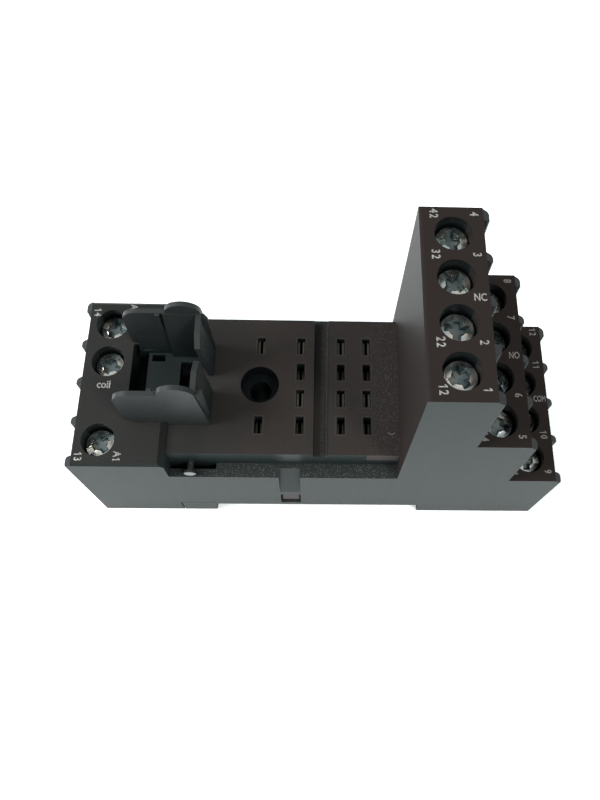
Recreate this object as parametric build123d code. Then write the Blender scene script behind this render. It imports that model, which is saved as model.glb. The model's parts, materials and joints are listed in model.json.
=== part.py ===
from build123d import *
import os

# Relay socket for a plug-in relay with four changeover contacts, clipped on a mounting rail.
# Millimetres. +X runs along the body from the coil terminals to the contact tower, +Y to the back,
# +Z up. The origin is at the middle of the body, on the plane that its feet stand on.

# Overall form of the housing
body_length = 74.4
body_width = 27.0
side_wall = 1.45
end_wall = 1.3
rail_recess_depth = 4.2
base_seat_z = 5.8
ledge_top = 22.6
plate_top = 27.6
plate_width = 22.4
plate_skin = 1.8
coil_block_rise = 1.1
coil_block_length = 13.6
coil_block_bevel = 0.45
coil_block_end_bevel = 0.9
tier_length = 8.45
lowest_tier_top = 21.8
tier_rise = 18.2
tier_names = ["com", "no", "nc"]

# Terminals
terminal_pitch = 6.35
terminal_to_end_face = 4.05
coil_terminal_to_end_face = 3.6
well_radius = 2.5
well_depth = 3.3
head_sink = 1.7
head_radius = 2.25
head_slot_width = 0.9
head_slot_depth = 0.9
shank_radius = 1.75
shank_clearance = 0.2
thread_clearance = 0.05
thread_pitch = 0.6
clamp_turns = 4
cell_roof = 1.0
cell_width = 5.0
cage_clearance = 0.2
cage_length = 4.2
cage_top_wall = 1.4
cage_bottom_wall = 1.0
cage_tail_gap = 0.2
cage_side_wall = 0.45
wire_gap = 3.5
tip_gap = 0.1
entry_width = 3.8
entry_flare = 0.35

# Partition ribs on the two end faces
rib_projection = 1.1
rib_width = 1.6
inner_rib_width = 1.2
rib_bevel = 0.3
rib_top_drop = 0.2
rib_top_slope = 1.0

# Relay pin field
pin_pitch = 4.4
nc_row_to_tower = 4.95
no_row_to_nc_row = 4.06
com_row_to_no_row = 6.35
coil_row_to_com_row = 6.35
slot_length = 2.7
slot_width = 1.2
pin_cell_length = 2.6
pin_cell_width = 3.4
groove_width = 2.3
groove_depth = 1.3
groove_from_com_row = 3.26
groove_radius = 0.45

# Fixing hole
fixing_radius = 1.7
counterbore_radius = 3.0
counterbore_depth = 3.3

# Contact strips
strip_thickness = 0.6
strip_width = 2.0
strip_clearance = 0.35
riser_width = 0.95
riser_gap = 0.2
tail_thickness = 0.8
tail_width = 3.0
leaf_thickness = 0.3
leaf_width = 2.2
leaf_root_z = 18.0
leaf_root_half = 0.85
leaf_throat = 0.12
leaf_mouth = 0.22
leaf_throat_drop = 1.3
leaf_bend_drop = 5.0
high_leaf_drop = 0.8
low_leaf_drop = 2.3
run_heights = {"com": 6.4, "no": 10.2, "nc": 14.0}
coil_run_height = 12.0

# Base pan and its snap arms
base_fit = 0.05
foot_x = 17.5
hook_reach = 1.3
hook_gap = 1.2
pan_floor = 1.6
latch_side_x = -18.2
cheek_left_x = -24.0
cheek_bevel = 0.4
cheek_top = 4.9
parting_gap = 0.2
snap_x = -5.0
snap_width = 3.35
snap_window_bottom = 5.8
snap_window_top = 11.5
snap_arm = 1.1
snap_nose = 1.0
snap_nose_flat = 1.2
snap_clearance = 0.25
ramp_top_depth = 1.5
ramp_bottom_z = 12.6

# Long pocket at the coil end of the ledge, and the headed peg that reaches over it
ledge_pocket_length = 7.2
ledge_pocket_width = 1.0
ledge_pocket_depth = 6.0
peg_from_block = 3.35
peg_rise = 0.9
peg_radius = 0.5
peg_head_radius = 0.95
peg_head_thickness = 0.4
peg_side_inset = 0.25

# Rail latch
latch_travel = 3.0
latch_half_width = 9.4
latch_stem_half_width = 7.7
latch_guide_gap = 0.2
latch_flange_bottom = 1.7
latch_flange_top = 3.9
latch_stem_bottom = 0.3
latch_reach = 1.2
latch_nose_top = 3.1
latch_tail_inset = 0.3
stop_peg_x = -29.0
stop_peg_length = 1.6
stop_peg_width = 2.0
stop_gap = 0.2
nose_root = 1.2
nose_bevel = 0.6
nose_bevel_rise = 0.9
driver_slot_inset = 1.0
driver_slot_width = 1.2
driver_slot_half = 2.2
leg_window_left = -33.5
leg_window_right = -23.5
leg_window_inner = 4.3
leg_thickness = 0.8
leg_end_gap = 1.5
leg_sag = 1.3
leg_root_length = 1.2

# Retainer clip: lengths from the inner face of the coil block, heights from the relay plate
clip_half_width = 6.75
wing_thickness = 0.75
clip_side_gap = 0.1
clip_overhang = 6.55
clip_length = 12.75
clip_axis_inset = 3.6
clip_axis_drop = 1.6
clip_hub_radius = 2.4
clip_wall_thickness = 0.75
clip_wall_rise = 3.4
clip_wall_inset = 0.9
clip_pin_radius = 1.1
clip_pin_clearance = 0.05
clip_pin_length = 1.6
wing_height = 12.7
wing_corner_radius = 2.6
wing_heel_rise = 1.0
wing_foot_gap = 0.15
ear_height = 15.2
ear_middle = 3.0
ear_half_length = 2.6
ear_shoulder = 0.7
clip_web_drop = 0.3
clip_web_thickness = 1.2
clip_web_inset = 4.0
small_window = (-3.45, -1.4, 3.8, 4.9)
large_window = (1.15, 3.0, -3.7, 3.7)
pad_foot_half = 4.6
pad_top_half = 5.9
pad_top_drop = 0.1
pad_groove_width = 0.35
pad_groove_depth = 0.35
wing_rib_width = 0.7
wing_rib_height = 0.4
wing_rib_length = 4.0
flange_thickness = 0.8
flange_foot_thickness = 0.9
flange_lean = 0.9
flange_foot_gap = 0.25
flange_inner_top = 0.9
flange_inner_foot = 1.3
flange_shoulder = 2.9
flange_dip = 1.1
bead_outer_half = 6.3
bead_inner_half = 5.5
bead_bevel = 0.6
bead_drop = 0.5
clip_pocket_length = 10.95
clip_pocket_inset = 6.25
clip_pocket_depth = 5.2
pocket_floor = 1.0

# How far joined shapes reach into one another, and how far a cut runs past a surface
bite = 0.1
beyond = 1.0

# Values that follow
coil_block_top = plate_top + coil_block_rise
half_length = body_length / 2
half_width = body_width / 2
plate_half = plate_width / 2
tower_left = half_length - 3 * tier_length
coil_block_right = -half_length + coil_block_length
tier_tops = {name: lowest_tier_top + k * tier_rise for k, name in enumerate(tier_names)}
tier_lefts = {"nc": tower_left, "no": tower_left + tier_length, "com": tower_left + 2 * tier_length}
pin_rows = {"nc": tower_left - nc_row_to_tower}
pin_rows["no"] = pin_rows["nc"] - no_row_to_nc_row
pin_rows["com"] = pin_rows["no"] - com_row_to_no_row
pin_rows["coil"] = pin_rows["com"] - coil_row_to_com_row
pole_ys = [(1.5 - k) * pin_pitch for k in range(4)]
terminal_ys = [(1.5 - k) * terminal_pitch for k in range(4)]
cage_travel = thread_pitch * clamp_turns
cage_width = cell_width - 2 * cage_clearance
cage_rest_drop = well_depth + cell_roof + cage_clearance + cage_travel
tail_drop = cage_rest_drop + cage_top_wall + cage_tail_gap
cage_floor_drop = tail_drop + tail_thickness + wire_gap
shaft_inset = tier_length - terminal_to_end_face - cage_length / 2 - 2 * riser_gap - riser_width
fixing_x = pin_rows["coil"]
clip_right_x = coil_block_right + clip_overhang
clip_left_x = clip_right_x - clip_length
clip_axis_x = coil_block_right - clip_axis_inset
clip_axis_z = plate_top - clip_axis_drop
wing_inner_half = clip_half_width - wing_thickness
wing_top = plate_top + wing_height
clip_foot_z = plate_top + flange_foot_gap
clip_web_top = plate_top - clip_web_drop
clip_web_low = clip_web_top - clip_web_thickness
clip_pocket_left = coil_block_right - clip_pocket_inset
clip_pocket_right = clip_pocket_left + clip_pocket_length
clip_pocket_bottom = plate_top - clip_pocket_depth
clip_web_right = clip_pocket_right - clip_side_gap
pad_left = coil_block_right - clip_side_gap
inner_half_width = half_width - side_wall


def block(x0, x1, y0, y1, z0, z1):
    """A cuboid between two corners."""
    size = (abs(x1 - x0), abs(y1 - y0), abs(z1 - z0))
    centre = ((x0 + x1) / 2, (y0 + y1) / 2, (z0 + z1) / 2)
    return Pos(*centre) * Box(*size)


def side_shape(edges, y0, y1):
    """A closed loop of edges in x and z, made thick from y0 to y1."""
    plane = Plane(origin=(0, y1, 0), x_dir=(1, 0, 0), z_dir=(0, -1, 0))
    return extrude(plane * make_face(edges), amount=y1 - y0, dir=(0, -1, 0))


def side_profile(points, y0, y1):
    """An outline given as (x, z) points, made thick from y0 to y1."""
    return side_shape(Polyline(*points, close=True), y0, y1)


def end_profile(points, x0, x1):
    """An outline given as (y, z) points, made thick from x0 to x1."""
    plane = Plane(origin=(x0, 0, 0), x_dir=(0, 1, 0), z_dir=(1, 0, 0))
    face = plane * make_face(Polyline(*points, close=True))
    return extrude(face, amount=x1 - x0, dir=(1, 0, 0))


def plan_profile(points, z0, z1):
    """An outline given as (x, y) points, made thick from z0 to z1."""
    face = Pos(0, 0, z0) * make_face(Polyline(*points, close=True))
    return extrude(face, amount=z1 - z0, dir=(0, 0, 1))


def rod(x, y, z0, z1, radius):
    """An upright cylinder."""
    return Pos(x, y, (z0 + z1) / 2) * Cylinder(radius, z1 - z0)


def cross_rod(x, z, y0, y1, radius):
    """A cylinder along Y."""
    return Pos(x, (y0 + y1) / 2, z) * Rot(90, 0, 0) * Cylinder(radius, y1 - y0)


# Terminals: where each screw stands, and which way its wire comes in

def make_terminals():
    """One entry a screw: name, centre, top of its block, and the side its wire enters from."""
    terminals = []
    for tier in tier_names:
        x = tier_lefts[tier] + tier_length - terminal_to_end_face
        for k, y in enumerate(terminal_ys):
            terminals.append({"name": f"{tier}_{4 - k}", "tier": tier, "pole": k, "x": x, "y": y,
                              "top": tier_tops[tier], "side": 1, "end": tier_lefts[tier] + tier_length})
    coil_x = -half_length + coil_terminal_to_end_face
    for name, k in (("coil_a2", 0), ("coil_a2_link", 1), ("coil_a1", 3)):
        terminals.append({"name": name, "tier": "coil", "pole": k, "x": coil_x, "y": terminal_ys[k],
                          "top": coil_block_top, "side": -1, "end": -half_length})
    return terminals


terminals = make_terminals()
driver_angles = {terminal["name"]: 35 + 47 * index for index, terminal in enumerate(terminals)}


def sheet_y(pole):
    """The plane of a pole's strip, inside both its pin lane and its terminal lane."""
    side = 1 if terminal_ys[pole] > 0 else -1
    lane_inner = abs(terminal_ys[pole]) - cell_width / 2
    pin_outer = abs(pole_ys[pole]) + pin_cell_width / 2
    return side * min(abs(terminal_ys[pole]), (lane_inner + pin_outer) / 2)


# Contact strips

def leaf_pair(x, y, tip_z):
    """Two spring leaves that grip a relay pin from both sides."""
    shape = None
    for side in (-1, 1):
        throat_z = tip_z - leaf_throat_drop
        bend_z = tip_z - leaf_bend_drop
        inner = [(leaf_root_half - leaf_thickness, leaf_root_z), (leaf_root_half - leaf_thickness, bend_z),
                 (leaf_throat, throat_z), (leaf_mouth, tip_z)]
        outer = [(px + leaf_thickness, pz) for px, pz in reversed(inner)]
        outline = [(x + side * px, pz) for px, pz in inner + outer]
        leaf = side_profile(outline, y - leaf_width / 2, y + leaf_width / 2)
        shape = leaf if shape is None else shape + leaf
    return shape


def leaf_tip(pole):
    """The leaves of every second pole stand higher in their slots."""
    return plate_top - (high_leaf_drop if pole % 2 == 0 else low_leaf_drop)


def strip_root(x, pole):
    """The cross plate that joins the leaves to the upright sheet."""
    y_pin = pole_ys[pole]
    y_sheet = sheet_y(pole)
    side = 1 if y_sheet > 0 else -1
    edges = [y_pin - leaf_width / 2, y_pin + leaf_width / 2, y_sheet + side * strip_thickness / 2]
    return block(x - leaf_root_half, x + leaf_root_half, min(edges), max(edges),
                 leaf_root_z - strip_thickness, leaf_root_z)


def strip_tail(terminal, tail_top):
    """The flat tongue inside the cage, and the arm that carries it from the riser."""
    side = terminal["side"]
    riser_x = terminal["x"] - side * (cage_length / 2 + riser_gap)
    far_x = terminal["x"] + side * (cage_length / 2 - cage_clearance)
    y = terminal["y"]
    tongue = block(riser_x - side * riser_width, far_x, y - tail_width / 2, y + tail_width / 2,
                   tail_top - tail_thickness, tail_top)
    y_sheet = sheet_y(terminal["pole"])
    arm = block(riser_x - side * riser_width, riser_x, min(y_sheet, y) - strip_thickness / 2,
                max(y_sheet, y) + strip_thickness / 2, tail_top - tail_thickness, tail_top)
    return tongue + arm


def contact_strip(terminal):
    """One strip: leaves under the slot, a run below the pin field, a riser and a tail."""
    tier = terminal["tier"]
    pole = terminal["pole"]
    side = terminal["side"]
    pin_x = pin_rows[tier]
    y = sheet_y(pole)
    run_z = coil_run_height if tier == "coil" else run_heights[tier]
    tail_top = terminal["top"] - tail_drop
    riser_near = terminal["x"] - side * (cage_length / 2 + riser_gap)
    riser_far = riser_near - side * riser_width
    half = leaf_root_half
    outline = [(pin_x - side * half, leaf_root_z), (pin_x - side * half, run_z), (riser_near, run_z),
               (riser_near, tail_top), (riser_far, tail_top), (riser_far, run_z + strip_width),
               (pin_x + side * half, run_z + strip_width), (pin_x + side * half, leaf_root_z)]
    sheet = side_profile(outline, y - strip_thickness / 2, y + strip_thickness / 2)
    strip = sheet + strip_root(pin_x, pole) + leaf_pair(pin_x, pole_ys[pole], leaf_tip(pole))
    return strip + strip_tail(terminal, tail_top)


def coil_link(first, second):
    """The bridge along Y that feeds the doubled coil terminal."""
    side = first["side"]
    tail_top = first["top"] - tail_drop
    near = first["x"] - side * (cage_length / 2 + riser_gap)
    far = near - side * riser_width
    bar = block(near, far, second["y"] - tail_width / 2, first["y"], tail_top - tail_thickness, tail_top)
    tongue = block(far, second["x"] + side * (cage_length / 2 - cage_clearance),
                   second["y"] - tail_width / 2, second["y"] + tail_width / 2,
                   tail_top - tail_thickness, tail_top)
    return bar + tongue


# Screws and cages

def terminal_screw(terminal, angle):
    """Cheese-head screw held down by its block, with a driver slot across the head."""
    top = terminal["top"] - head_sink
    seat = terminal["top"] - well_depth
    tip = terminal["top"] - tail_drop + tip_gap
    outline = [(0, tip), (shank_radius, tip), (shank_radius, seat), (head_radius, seat),
               (head_radius, top), (0, top)]
    face = Plane.XZ * make_face(Polyline(*outline, close=True))
    body = revolve(face, axis=Axis.Z)
    slot_length = 2 * head_radius + beyond
    slot = Pos(0, 0, top - head_slot_depth / 2) * Box(slot_length, head_slot_width, head_slot_depth)
    return Pos(terminal["x"], terminal["y"], 0) * (body - Rot(0, 0, angle) * slot)


def clamp_cage(terminal):
    """Open frame that rises on its screw and pulls the wire up under the tail."""
    x = terminal["x"]
    y = terminal["y"]
    top = terminal["top"] - cage_rest_drop
    floor = terminal["top"] - cage_floor_drop
    frame = block(x - cage_length / 2, x + cage_length / 2, y - cage_width / 2, y + cage_width / 2,
                  floor - cage_bottom_wall, top)
    window_half = cage_width / 2 - cage_side_wall
    window = block(x - cage_length, x + cage_length, y - window_half, y + window_half,
                   floor, top - cage_top_wall)
    thread = rod(x, y, top - cage_top_wall - bite, top + beyond, shank_radius + thread_clearance)
    return frame - window - thread


# Housing

def housing_outline():
    """Side view of the housing without the raised relay plate."""
    cheek_x = cheek_left_x - parting_gap
    cheek_z = cheek_top + parting_gap
    return [(-half_length, 0), (cheek_x, 0), (cheek_x, cheek_z), (latch_side_x, cheek_z),
            (latch_side_x, rail_recess_depth), (foot_x, rail_recess_depth), (foot_x, 0),
            (half_length, 0), (half_length, tier_tops["com"]), (tier_lefts["com"], tier_tops["com"]),
            (tier_lefts["com"], tier_tops["no"]), (tier_lefts["no"], tier_tops["no"]),
            (tier_lefts["no"], tier_tops["nc"]), (tower_left, tier_tops["nc"]), (tower_left, ledge_top),
            (coil_block_right, ledge_top), (coil_block_right, coil_block_top - coil_block_end_bevel),
            (coil_block_right - coil_block_end_bevel, coil_block_top), (-half_length, coil_block_top)]


def end_rib(x, side, y, width, bottom, top):
    """One upright rib with a sloped top and bevelled outer edges."""
    tip = x + side * rib_projection
    root = x - side * bite
    high = top - rib_top_drop
    rib = side_profile([(root, bottom), (tip, bottom), (tip, high - rib_top_slope), (x, high), (root, high)],
                       y - width / 2, y + width / 2)
    outer = rib.edges().filter_by(Axis.Z).filter_by_position(Axis.X, tip - bite, tip + bite)
    return chamfer(outer, rib_bevel)


def end_ribs():
    """Ribs that part the wire entries, on both ends and on each step of the tower."""
    faces = [(-half_length, -1, 0, coil_block_top)]
    foot = 0
    for tier in tier_names:
        faces.append((tier_lefts[tier] + tier_length, 1, foot, tier_tops[tier]))
        foot = tier_tops[tier]
    outermost = half_width - rib_width / 2
    rows = [(y, inner_rib_width) for y in (-terminal_pitch, 0, terminal_pitch)]
    rows += [(-outermost, rib_width), (outermost, rib_width)]
    return [end_rib(x, side, y, width, bottom, top) for x, side, bottom, top in faces for y, width in rows]


def terminal_cuts(terminal):
    """Well, screw hole and wire entry of one terminal."""
    x = terminal["x"]
    y = terminal["y"]
    top = terminal["top"]
    side = terminal["side"]
    well = rod(x, y, top - well_depth, top + beyond, well_radius)
    hole = rod(x, y, top - well_depth - cell_roof - bite, top, shank_radius + shank_clearance)
    entry_top = top - tail_drop - tail_thickness
    entry_bottom = top - cage_floor_drop
    middle = (entry_top + entry_bottom) / 2
    height = entry_top - entry_bottom
    outer_x = terminal["end"] + side * bite
    inner_x = terminal["end"] - side * (end_wall + bite)
    entry = block(outer_x, inner_x, y - entry_width / 2, y + entry_width / 2, entry_bottom, entry_top)
    plane = Plane(origin=(outer_x, y, middle), x_dir=(0, 1, 0), z_dir=(side, 0, 0))
    wide = plane * Rectangle(entry_width + 2 * entry_flare, height + 2 * entry_flare)
    narrow = plane.offset(-2 * entry_flare) * Rectangle(entry_width, height)
    return [well, hole, entry, loft([wide, narrow])]


def contact_lane(pole):
    """The hollow of one pole: pin cells, gallery and the three terminal shafts of the tower."""
    y_pin = pole_ys[pole]
    y_term = terminal_ys[pole]
    pin_y0 = y_pin - pin_cell_width / 2
    pin_y1 = y_pin + pin_cell_width / 2
    sheet_half = strip_thickness / 2 + cage_clearance
    sheet_y0 = sheet_y(pole) - sheet_half
    sheet_y1 = sheet_y(pole) + sheet_half
    term_y0 = min(y_term - cell_width / 2, sheet_y0)
    term_y1 = max(y_term + cell_width / 2, sheet_y1)
    cell_top = plate_top - plate_skin
    gallery_top = leaf_root_z + strip_clearance
    cuts = []
    for row in tier_names:
        x = pin_rows[row]
        cuts.append(block(x - pin_cell_length / 2, x + pin_cell_length / 2,
                          pin_y0, pin_y1, base_seat_z, cell_top))
    left = pin_rows["com"] - pin_cell_length / 2
    shaft_left = tower_left + shaft_inset
    cuts.append(block(left, shaft_left, min(pin_y0, sheet_y0), max(pin_y1, sheet_y1),
                      base_seat_z, gallery_top))
    outline = [(shaft_left, base_seat_z)]
    for tier in reversed(tier_names):
        roof = tier_tops[tier] - well_depth - cell_roof
        start = tier_lefts[tier] + shaft_inset
        end = tier_lefts[tier] + tier_length - end_wall - bite
        low = base_seat_z if tier == "com" else gallery_top
        outline += [(start, roof), (end, roof), (end, low)]
        if tier != "com":
            outline.append((end + end_wall + bite + shaft_inset, low))
    cuts.append(side_profile(outline, term_y0, term_y1))
    return cuts


def coil_lane(terminal):
    """The hollow of a coil terminal, and the channel from its relay pin."""
    x = terminal["x"]
    y = terminal["y"]
    roof = terminal["top"] - well_depth - cell_roof
    y0 = y - cell_width / 2
    y1 = y + cell_width / 2
    left = x - cage_length / 2 - cage_clearance
    cage_side = x + cage_length / 2 + cage_clearance
    riser_side = x + cage_length / 2 + 2 * riser_gap + riser_width
    low_roof = clip_pocket_bottom - pocket_floor
    cuts = [block(left, cage_side, y0, y1, base_seat_z, roof),
            block(cage_side - bite, riser_side, y0, y1, base_seat_z, low_roof)]
    if terminal["pole"] != 1:
        pole = terminal["pole"]
        y_pin = pole_ys[pole]
        pin_x = pin_rows["coil"]
        cell_top = plate_top - plate_skin
        cuts.append(block(pin_x - pin_cell_length / 2, pin_x + pin_cell_length / 2,
                          y_pin - pin_cell_width / 2, y_pin + pin_cell_width / 2, base_seat_z, cell_top))
        y_sheet = sheet_y(pole)
        channel_half = strip_thickness / 2 + strip_clearance
        cuts.append(block(riser_side - bite, pin_x, y_sheet - channel_half, y_sheet + channel_half,
                          base_seat_z, leaf_root_z + strip_clearance))
    return cuts


def link_cut(first, second):
    """Gap in the partition between the two joined coil terminals."""
    near = first["x"] + cage_length / 2
    far = near + riser_width + 2 * riser_gap
    return block(near, far, second["y"], first["y"], base_seat_z, first["top"] - tail_drop + strip_clearance)


def snap_cuts(side):
    """Ramp, window and arm pocket of the snap joint in one side wall."""
    outer = side * (half_width + bite)
    wall = side * inner_half_width
    x0 = snap_x - snap_width / 2
    x1 = snap_x + snap_width / 2
    ramp = end_profile([(outer, ledge_top + bite), (side * (half_width - ramp_top_depth), ledge_top + bite),
                        (outer, ramp_bottom_z)], x0, x1)
    window = block(x0, x1, wall - side * bite, outer, snap_window_bottom, snap_window_top)
    gap = snap_clearance
    pocket = block(x0 - gap, x1 + gap, wall - side * (snap_arm + gap), wall,
                   base_seat_z, snap_window_top + gap)
    return [ramp, window, pocket]


def ledge_peg(side):
    """Peg on the wall of the relay plate, with a round head that stands on the ledge."""
    x = coil_block_right + peg_from_block
    z = ledge_top + peg_rise
    root = side * (plate_half - bite)
    head_outer = side * (half_width - peg_side_inset)
    head_inner = head_outer - side * peg_head_thickness
    shaft = cross_rod(x, z, min(root, head_outer), max(root, head_outer), peg_radius)
    head = cross_rod(x, z, min(head_inner, head_outer), max(head_inner, head_outer), peg_head_radius)
    return shaft + head


def upper_housing():
    """The main moulding."""
    shape = side_profile(housing_outline(), -half_width, half_width)
    plate = block(coil_block_right - bite, tower_left + bite, -plate_half, plate_half,
                  ledge_top - bite, plate_top)
    shape = shape + plate
    shape = shape + end_ribs()
    cuts = []
    # Recess for the base pan, open below
    cuts.append(block(-half_length + end_wall, half_length - end_wall, -inner_half_width, inner_half_width,
                      -beyond, base_seat_z))
    # Way out for the tail of the rail latch
    tail_half = latch_half_width + latch_guide_gap
    cuts.append(block(-half_length - rib_projection - beyond, -half_length + end_wall + bite,
                      -tail_half, tail_half, -beyond, latch_flange_top + 2 * latch_guide_gap))
    for terminal in terminals:
        cuts += terminal_cuts(terminal)
    for pole in range(4):
        cuts += contact_lane(pole)
    coil_terminals = [t for t in terminals if t["tier"] == "coil"]
    for terminal in coil_terminals:
        cuts += coil_lane(terminal)
    cuts.append(link_cut(coil_terminals[0], coil_terminals[1]))
    # Slots for the relay pins
    for row, x in pin_rows.items():
        for k, y in enumerate(pole_ys):
            if row != "coil" or k in (0, 3):
                cuts.append(block(x - slot_width / 2, x + slot_width / 2, y - slot_length / 2,
                                  y + slot_length / 2, plate_top - plate_skin - bite, plate_top + beyond))
    # Fixing screw hole with its counterbore
    cuts.append(rod(fixing_x, 0, base_seat_z - beyond, plate_top + beyond, fixing_radius))
    cuts.append(rod(fixing_x, 0, plate_top - counterbore_depth, plate_top + beyond, counterbore_radius))
    # Cross groove between the common row and the normally open row
    groove_x = pin_rows["com"] + groove_from_com_row
    groove = block(groove_x - groove_width / 2, groove_x + groove_width / 2, -half_width, half_width,
                   plate_top - groove_depth, plate_top + beyond)
    low_edges = groove.edges().filter_by(Axis.Y).sort_by(Axis.Z)[:2]
    cuts.append(fillet(low_edges, groove_radius))
    # Pocket for the retainer clip with bores for its pins
    pocket_half = wing_inner_half + clip_side_gap
    cuts.append(block(clip_pocket_left, clip_pocket_right, -pocket_half, pocket_half, clip_pocket_bottom,
                      coil_block_top + beyond))
    bore_half = wing_inner_half + clip_pin_length + clip_side_gap
    bore_radius = clip_pin_radius + clip_pin_clearance
    cuts.append(cross_rod(clip_axis_x, clip_axis_z, -bore_half, bore_half, bore_radius))
    for side in (-1, 1):
        cuts += snap_cuts(side)
        # Bevels along the top of the coil block
        outer = side * half_width
        cuts.append(end_profile([(outer - side * coil_block_bevel, coil_block_top), (outer, coil_block_top),
                                 (outer, coil_block_top - coil_block_bevel)], -half_length, coil_block_right))
        # Pocket at the coil end of the ledge
        cuts.append(block(coil_block_right, coil_block_right + ledge_pocket_length,
                          side * plate_half, side * (plate_half + ledge_pocket_width),
                          ledge_top - ledge_pocket_depth, ledge_top + beyond))
    shape = shape - cuts
    return shape + [ledge_peg(-1), ledge_peg(1)]


# Base pan

def latch_channel():
    """T-shaped guide for the rail latch, open at both ends."""
    gap = latch_guide_gap
    wide = latch_half_width + gap
    narrow = latch_stem_half_width + gap
    low = latch_flange_bottom - gap
    high = latch_flange_top + gap
    outline = [(-narrow, -beyond), (narrow, -beyond), (narrow, low), (wide, low), (wide, high),
               (-wide, high), (-wide, low), (-narrow, low)]
    return end_profile(outline, -half_length, latch_side_x + beyond)


def base_pan():
    """Lower moulding: rail recess roof, fixed foot, latch guide and two snap arms."""
    left = -half_length + end_wall + base_fit
    right = half_length - end_wall - base_fit
    y = inner_half_width - base_fit
    outline = [(left, 0), (latch_side_x, 0), (latch_side_x, rail_recess_depth), (foot_x, rail_recess_depth),
               (foot_x, 0), (right, 0), (right, base_seat_z), (left, base_seat_z)]
    shape = side_profile(outline, -y, y)
    for side in (-1, 1):
        outline = [(cheek_left_x, 0), (latch_side_x - cheek_bevel, 0), (latch_side_x, cheek_bevel),
                   (latch_side_x, cheek_top), (cheek_left_x, cheek_top)]
        edges = (side * (y - bite), side * half_width)
        shape = shape + side_profile(outline, min(edges), max(edges))
    # Hollow of the fixed foot, and the groove that the rail edge slides into
    shape = shape - block(foot_x + hook_reach + pan_floor, right - pan_floor, -y + pan_floor, y - pan_floor,
                          pan_floor, base_seat_z + beyond)
    shape = shape - block(foot_x - bite, foot_x + hook_reach, -y + pan_floor, y - pan_floor,
                          rail_recess_depth - hook_gap, rail_recess_depth)
    shape = shape - latch_channel()
    shape = shape - rod(fixing_x, 0, 0, base_seat_z + beyond, fixing_radius)
    peg_half = stop_peg_length / 2
    peg = block(stop_peg_x - peg_half, stop_peg_x + peg_half, -stop_peg_width / 2, stop_peg_width / 2,
                latch_flange_bottom, latch_flange_top + latch_guide_gap + bite)
    shape = shape + peg
    for side in (-1, 1):
        shape = shape + snap_arm_shape(side)
    return shape


def snap_arm_shape(side):
    """Upright arm with a wedge nose that catches in the window of the side wall."""
    inner = side * (inner_half_width - base_fit - snap_arm)
    outer = side * (inner_half_width - base_fit)
    nose = side * (inner_half_width + snap_nose)
    top = snap_window_top - snap_clearance
    catch_z = snap_window_bottom + snap_clearance
    root = base_seat_z - bite
    outline = [(inner, root), (outer, root), (outer, catch_z), (nose, catch_z),
               (nose, catch_z + snap_nose_flat), (outer, top), (inner, top)]
    half = snap_width / 2 - snap_clearance
    return end_profile(outline, snap_x - half, snap_x + half)


# Rail latch

def spring_leg(side):
    """Curved leg of the latch that bears on the side of its guide."""
    x0 = leg_window_left
    x1 = leg_window_right - leg_end_gap
    y0 = leg_window_inner
    y1 = latch_half_width
    xm = (x0 + x1) / 2
    ym = y1 - leg_sag
    t = leg_thickness
    root_x = x0 + leg_root_length
    outer = ThreePointArc((x0, side * y0), (xm, side * ym), (x1, side * y1))
    inner = ThreePointArc((root_x, side * (y0 - bite)), (xm + t, side * (ym - t)), (x1, side * (y1 - t)))
    edges = [outer, Line((x1, side * y1), (x1, side * (y1 - t))), inner,
             Line((root_x, side * (y0 - bite)), (x0, side * y0))]
    face = Pos(0, 0, latch_flange_bottom) * make_face(edges)
    return extrude(face, amount=latch_flange_top - latch_flange_bottom, dir=(0, 0, 1))


def rail_latch():
    """Slider that hooks under the rail, with two spring legs and a driver slot in its tail."""
    tail = -half_length + latch_tail_inset
    body_end = latch_side_x - stop_gap
    flange = block(tail, body_end, -latch_half_width, latch_half_width, latch_flange_bottom, latch_flange_top)
    stem = block(tail, body_end, -latch_stem_half_width, latch_stem_half_width,
                 latch_stem_bottom, latch_flange_bottom + bite)
    tip = latch_side_x + latch_reach
    root = latch_side_x - nose_root
    outline = [(root, latch_stem_bottom), (tip - nose_bevel, latch_stem_bottom),
               (tip, latch_stem_bottom + nose_bevel_rise), (tip, latch_nose_top), (root, latch_nose_top)]
    nose = side_profile(outline, -latch_stem_half_width, latch_stem_half_width)
    shape = flange + stem + nose
    for side in (-1, 1):
        shape = shape - block(leg_window_left, leg_window_right, side * leg_window_inner,
                              side * (latch_half_width + beyond), latch_stem_bottom - beyond,
                              latch_flange_top + beyond)
        shape = shape + spring_leg(side)
    peg_half = stop_peg_length / 2 + stop_gap
    slot_half = stop_peg_width / 2 + stop_gap
    shape = shape - block(stop_peg_x - peg_half, stop_peg_x + peg_half + latch_travel, -slot_half, slot_half,
                          latch_stem_bottom - beyond, latch_flange_top + beyond)
    driver_x = tail + driver_slot_inset
    driver = block(driver_x, driver_x + driver_slot_width, -driver_slot_half, driver_slot_half,
                   latch_stem_bottom - beyond, latch_flange_top + beyond)
    return shape - driver


# Retainer clip

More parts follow.
